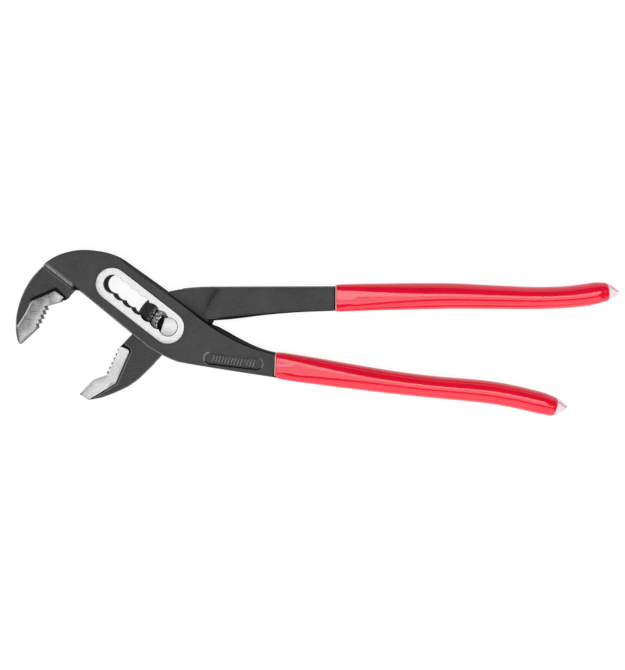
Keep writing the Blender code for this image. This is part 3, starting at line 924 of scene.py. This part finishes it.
def feed(tree, socket, value):
    """Link an output to an input, or set the input's own value."""
    if isinstance(value, bpy.types.NodeSocket):
        tree.links.new(value, socket)
    else:
        socket.default_value = value


def node(tree, kind, inputs, **settings):
    made = tree.nodes.new(kind)
    for key, value in settings.items():
        setattr(made, key, value)
    for key, value in inputs.items():
        feed(tree, made.inputs[key], value)
    return made


def place(tree, scale=(1, 1, 1), turn=0.0):
    """Object coordinates in millimetres, turned about Z and stretched."""
    where = node(tree, "ShaderNodeTexCoord", {}).outputs["Object"]
    return node(tree, "ShaderNodeMapping", {
        "Vector": where, "Rotation": (0, 0, math.radians(turn)),
        "Scale": tuple(x / MM for x in scale)}).outputs["Vector"]


def noise(tree, vector, scale, detail, roughness):
    return node(tree, "ShaderNodeTexNoise", {
        "Vector": vector, "Scale": scale, "Detail": detail, "Roughness": roughness}).outputs["Fac"]


def spread(tree, value, low, high, to_low=0.0, to_high=1.0):
    return node(tree, "ShaderNodeMapRange", {
        "Value": value, "From Min": low, "From Max": high,
        "To Min": to_low, "To Max": to_high}).outputs["Result"]


def mix(tree, factor, one, other):
    return node(tree, "ShaderNodeMix", {0: factor, 6: one, 7: other}, data_type="RGBA").outputs[2]


def calc(tree, operation, one, other):
    return node(tree, "ShaderNodeMath", {0: one, 1: other}, operation=operation).outputs[0]


def total(tree, value, *others):
    for other in others:
        value = calc(tree, "ADD", value, other)
    return value


def wear_light_and_tone_note(tree):
    """The meshes' own note: rubbed edges and painted highlight (to 1), painted shadow (to -1),
    pads' tone.
    """
    return node(tree, "ShaderNodeAttribute", {}, attribute_name="wear_light_and_tone").outputs["Fac"]


def grey(value, tint=(1.0, 1.0, 1.0)):
    return (*(value * part for part in tint), 1.0)


def new_material(name):
    material = bpy.data.materials.new(name)
    material.use_nodes = True
    return material, material.node_tree


def dress(tree, base, rough, relief, **plain):
    """Feed the shader. relief is (height, strength, millimetres); plain holds even values."""
    inputs = {"Base Color": base, "Roughness": rough}
    if relief:
        height, strength, distance = relief
        inputs["Normal"] = node(tree, "ShaderNodeBump", {
            "Height": height, "Strength": strength, "Distance": distance * MM}).outputs["Normal"]
    for key, value in plain.items():
        inputs[key.replace("_", " ")] = value
    for key, value in inputs.items():
        feed(tree, tree.nodes["Principled BSDF"].inputs[key], value)


def black_coating():
    """Satin black coating over a blasted forging: rubbed edges, painted highlights and painted
    shadow.
    """
    material, tree = new_material("black_coating")
    vector, wear_light_and_tone, cool = place(tree), wear_light_and_tone_note(tree), (1, 1, 1.01)
    grain = noise(tree, vector, 1.5, 4.0, 0.75)
    cloud = noise(tree, vector, 0.07, 3.0, 0.5)
    brush = noise(tree, place(tree, (0.12, 1.6, 1.0), 20), 1.0, 3.0, 0.6)
    scuff = noise(tree, vector, 0.6, 4.0, 0.6)
    tone = total(tree, spread(tree, grain, 0.36, 0.64, 0.0, 0.6),
                 spread(tree, cloud, 0.3, 0.7, 0.0, 0.28),
                 spread(tree, brush, 0.35, 0.65, 0.0, 0.12))
    base = mix(tree, tone, grey(0.008, cool), grey(0.052, cool))
    # Negative values darken the coating: painted shadow.
    base = mix(tree, spread(tree, wear_light_and_tone, 0.0, -1.0, 0.0, 0.9), base, grey(0.001))
    # Positive values lighten it: rubbed edges and painted highlights.
    rub_and_highlight = calc(tree, "MULTIPLY", spread(tree, wear_light_and_tone, 0.1, 1.0),
                  spread(tree, scuff, 0.35, 0.65, 0.45, 1.0))
    dress(tree, mix(tree, rub_and_highlight, base, grey(0.26)), spread(tree, grain, 0.3, 0.7, 0.40, 0.54),
          (total(tree, grain, calc(tree, "MULTIPLY", cloud, 1.5)), 0.4, 0.06),
          Specular_IOR_Level=0.2)
    return material


def shaded_coating():
    """The same coating made darker as painted shade: walls, risers, the slot and dark lines beside
    steps.
    """
    material, tree = new_material("shaded_coating")
    grain = noise(tree, place(tree), 1.1, 3.0, 0.6)
    dress(tree, mix(tree, spread(tree, grain, 0.3, 0.7), grey(0.0015), grey(0.006)),
          spread(tree, grain, 0.3, 0.7, 0.5, 0.65), (grain, 0.4, 0.05), Specular_IOR_Level=0.06)
    return material


def dark_steel():
    """Cut but uncoated tooth flanks and jaw sides."""
    material, tree = new_material("dark_steel")
    violet = (1, 0.96, 1.04)
    grain = noise(tree, place(tree, (1.0, 1.0, 0.3)), 1.4, 3.0, 0.6)
    dress(tree, mix(tree, spread(tree, grain, 0.3, 0.7), grey(0.035, violet), grey(0.085, violet)),
          spread(tree, grain, 0.3, 0.7, 0.4, 0.55), (grain, 0.4, 0.05), Metallic=0.6)
    return material


def tongue_steel():
    """The thin tongue in the slot: dark with painted shade, brushed, bright flecks towards its
    bore.
    """
    material, tree = new_material("tongue_steel")
    vector = place(tree)
    lines = noise(tree, place(tree, (2.2, 0.2, 1.0), -50), 1.0, 3.0, 0.6)
    flecks = noise(tree, vector, 0.9, 5.0, 0.7)
    reach = node(tree, "ShaderNodeVectorMath", {0: vector}, operation="LENGTH").outputs["Value"]
    near_bore = spread(tree, reach, BORE_RADIUS + 0.6, BORE_RADIUS + 2.6, 1.0, 0.0)
    # Nearly black: the tongue's own dark finish deepened by painted shade from the slot.
    base = mix(tree, spread(tree, lines, 0.35, 0.65), grey(0.002), grey(0.018))
    bright = calc(tree, "MULTIPLY", near_bore, spread(tree, flecks, 0.5, 0.6))
    dress(tree, mix(tree, bright, base, grey(0.35)), spread(tree, lines, 0.3, 0.7, 0.36, 0.5),
          (lines, 0.4, 0.04), Specular_IOR_Level=0.1)
    return material


def ground_steel():
    """Bare steel, ground flat, with fine specks."""
    material, tree = new_material("ground_steel")
    fine = noise(tree, place(tree), 1.6, 4.0, 0.8)
    lines = noise(tree, place(tree, (0.25, 3.0, 1.0), SLOT_TURN), 1.0, 3.0, 0.6)
    tone = total(tree, spread(tree, fine, 0.3, 0.7, 0.0, 0.7),
                 spread(tree, lines, 0.3, 0.7, 0.0, 0.3))
    dress(tree, mix(tree, tone, grey(0.26), grey(0.45)), spread(tree, fine, 0.3, 0.7, 0.36, 0.5),
          (fine, 0.3, 0.03), Metallic=1.0)
    return material


def pad_steel(name, turn, dark, light):
    """A jaw's ground gripping face, brushed across."""
    material, tree = new_material(name)
    lines = noise(tree, place(tree, (0.12, 2.4, 1.0), turn), 1.0, 4.0, 0.65)
    cloud = noise(tree, place(tree), 0.16, 2.0, 0.5)
    grain = noise(tree, place(tree), 1.6, 3.0, 0.7)
    tone = total(tree, spread(tree, lines, 0.35, 0.65, 0.07, 0.33),
                 spread(tree, cloud, 0.35, 0.65, 0.1, 0.3),
                 spread(tree, grain, 0.3, 0.7, -0.1, 0.3),
                 spread(tree, wear_light_and_tone_note(tree), -1.0, 1.0, -0.5, 0.5))
    dress(tree, mix(tree, tone, grey(dark), grey(light)), spread(tree, lines, 0.3, 0.7, 0.36, 0.5),
          (total(tree, lines, calc(tree, "MULTIPLY", grain, 0.5)), 0.35, 0.04), Metallic=1.0)
    return material


def mottled_steel():
    """Raw steel with a patchy, scaly surface."""
    material, tree = new_material("mottled_steel")
    patches = noise(tree, place(tree), 0.85, 5.0, 0.75)
    dress(tree, mix(tree, spread(tree, patches, 0.47, 0.6), grey(0.02), grey(0.30)),
          spread(tree, patches, 0.4, 0.6, 0.6, 0.36), (patches, 0.5, 0.12), Metallic=0.8)
    return material


def red_vinyl():
    """Glossy dipped vinyl."""
    material, tree = new_material("red_vinyl")
    cloud = noise(tree, place(tree), 0.06, 3.0, 0.5)
    peel = noise(tree, place(tree, (0.25, 1.0, 1.0)), 0.3, 2.0, 0.5)
    dress(tree, mix(tree, spread(tree, cloud, 0.3, 0.7), (0.66, 0.0010, 0.022, 1.0),
                    (0.76, 0.0016, 0.030, 1.0)),
          spread(tree, cloud, 0.3, 0.7, 0.3, 0.38), (peel, 0.1, 0.12),
          Specular_IOR_Level=0.04, Coat_Weight=1.0, Coat_Roughness=0.06, Coat_IOR=1.5)
    return material


def clear_vinyl():
    """The clear outer dip, faintly pink where it is thick."""
    material, tree = new_material("clear_vinyl")
    cloud = noise(tree, place(tree), 0.3, 3.0, 0.5)
    dress(tree, mix(tree, spread(tree, cloud, 0.3, 0.7), (1.0, 0.76, 0.80, 1.0),
                    (1.0, 0.90, 0.92, 1.0)),
          spread(tree, cloud, 0.3, 0.7, 0.08, 0.2), (cloud, 0.25, 0.3),
          Transmission_Weight=0.35, IOR=1.4)
    return material


def painted_crease_reflection():
    """A dark line: painted reflection in the crease where the drip's facets meet."""
    material, tree = new_material("painted_crease_reflection")
    cloud = noise(tree, place(tree), 0.8, 3.0, 0.5)
    dress(tree, mix(tree, spread(tree, cloud, 0.3, 0.7), (0.10, 0.02, 0.03, 1.0),
                    (0.42, 0.12, 0.15, 1.0)),
          spread(tree, cloud, 0.3, 0.7, 0.2, 0.35), (cloud, 0.3, 0.1))
    return material


# Assembly


def finish_piece(obj, body, nodes, materials=()):
    paint(obj, materials)
    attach(obj, body)
    if nodes:
        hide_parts(*nodes)


def make_pieces():
    black, ground, painted_shade, dark = black_coating(), ground_steel(), shaded_coating(), dark_steel()
    tongue, mottled, red, clear = tongue_steel(), mottled_steel(), red_vinyl(), clear_vinyl()
    run = painted_crease_reflection()
    upper_pad = pad_steel("upper_pad_steel", -22, 0.07, 0.42)
    lower_pad = pad_steel("lower_pad_steel", -32, 0.20, 0.46)
    outer = make_outer([black, ground, upper_pad, painted_shade, dark])
    inner = make_inner([black, ground, lower_pad, painted_shade, dark, tongue])
    finish_piece(outer, "outer", ["outer_member"])
    finish_piece(inner, "inner", ["inner_member"])
    finish_piece(make_pin(), "inner", ["pivot_pin"], [ground, painted_shade])
    finish_piece(make_collar(), "carriage", ["pivot_collar"], [mottled])
    upper = make_grip("upper_grip_vinyl", UPPER_GRIP, ((87.6, 12.6), (4.2, 1.9), 0.14))
    lower = make_grip("lower_grip_vinyl", LOWER_GRIP, ((57.4, -21.3), (4.2, 2.2), 0.14))
    finish_piece(upper, "inner", ["upper_grip"], [red, clear])
    finish_piece(lower, "outer", ["lower_grip"], [red, clear])
    finish_piece(make_tip("upper_tip", UPPER_GRIP, -0.06), "inner", [], [clear, run])
    finish_piece(make_tip("lower_tip", LOWER_GRIP, 0.24), "outer", [], [clear, run])


def make_floor():
    """A pale round floor that curves up into a low wall far away."""
    sides = 96
    profile = [(0, 0), (1.9, 0), (2.2, 0.03), (2.5, 0.12), (2.8, 0.32), (3, 0.6), (3.1, 1)]
    verts = [(0.0, 0.0, 0.0)]
    for radius, height in profile[1:]:
        verts += [(radius * math.cos(t), radius * math.sin(t), height)
                  for t in np.linspace(0, 2 * math.pi, sides, endpoint=False)]
    faces = [(0, 1 + i, 1 + (i + 1) % sides) for i in range(sides)]
    for k in range(len(profile) - 2):
        a, b = 1 + k * sides, 1 + (k + 1) * sides
        faces += [(a + i, b + i, b + (i + 1) % sides, a + (i + 1) % sides) for i in range(sides)]
    mesh = bpy.data.meshes.new("floor")
    mesh.from_pydata(verts, [], faces)
    mesh.shade_smooth()
    floor = bpy.data.objects.new("floor", mesh)
    floor.location = (0, 0, -0.0003)
    bpy.context.scene.collection.objects.link(floor)
    material, tree = new_material("paper")
    cloud = noise(tree, place(tree), 0.02, 2.0, 0.5)
    dress(tree, mix(tree, cloud, grey(0.18), grey(0.2)), 0.9, None, Specular_IOR_Level=0.0,
          Emission_Color=grey(1.0), Emission_Strength=0.85)
    mesh.materials.append(material)


def area_light(name, where, target, size, size_y, power):
    data = bpy.data.lights.new(name, "AREA")
    data.shape, data.size, data.size_y = "RECTANGLE", size, size_y
    data.energy = power
    light = bpy.data.objects.new(name, data)
    bpy.context.scene.collection.objects.link(light)
    light.location = where
    way = Vector(target) - Vector(where)
    light.rotation_euler = way.to_track_quat("-Z", "Y").to_euler()


def make_lights():
    world = bpy.data.worlds.new("studio")
    bpy.context.scene.world = world
    world.use_nodes = True
    background = world.node_tree.nodes["Background"]
    background.inputs["Color"].default_value = (1.0, 1.0, 1.0, 1.0)
    background.inputs["Strength"].default_value = 0.07
    area_light("overhead_near", (0.0, -0.22, 1.15), (0.0, -0.22, 0.0), 1.6, 0.44, 6.0)
    area_light("overhead_far", (0.0, 0.18, 1.15), (0.0, 0.18, 0.0), 1.6, 0.34, 8.4)
    area_light("front", (0.0, -1.06, 0.66), (0, 0, 0), 2.0, 1.0, 10.5)


def make_camera():
    """Straight above but for a slight tilt."""
    data = bpy.data.cameras.new("camera")
    camera = bpy.data.objects.new("camera", data)
    bpy.context.scene.collection.objects.link(camera)
    camera.location = (0.00715, 0.0252, 0.5434)
    camera.rotation_euler = [math.radians(a) for a in (-1.004, 0.346, -0.014)]
    data.lens, data.sensor_width = 57.678, 36.0
    data.shift_x, data.shift_y = -0.02, -0.05
    data.clip_start, data.clip_end = 0.01, 20.0
    bpy.context.scene.camera = camera


bpy.context.scene.view_settings.view_transform = "Standard"
make_pieces()
make_floor()
make_lights()
make_camera()
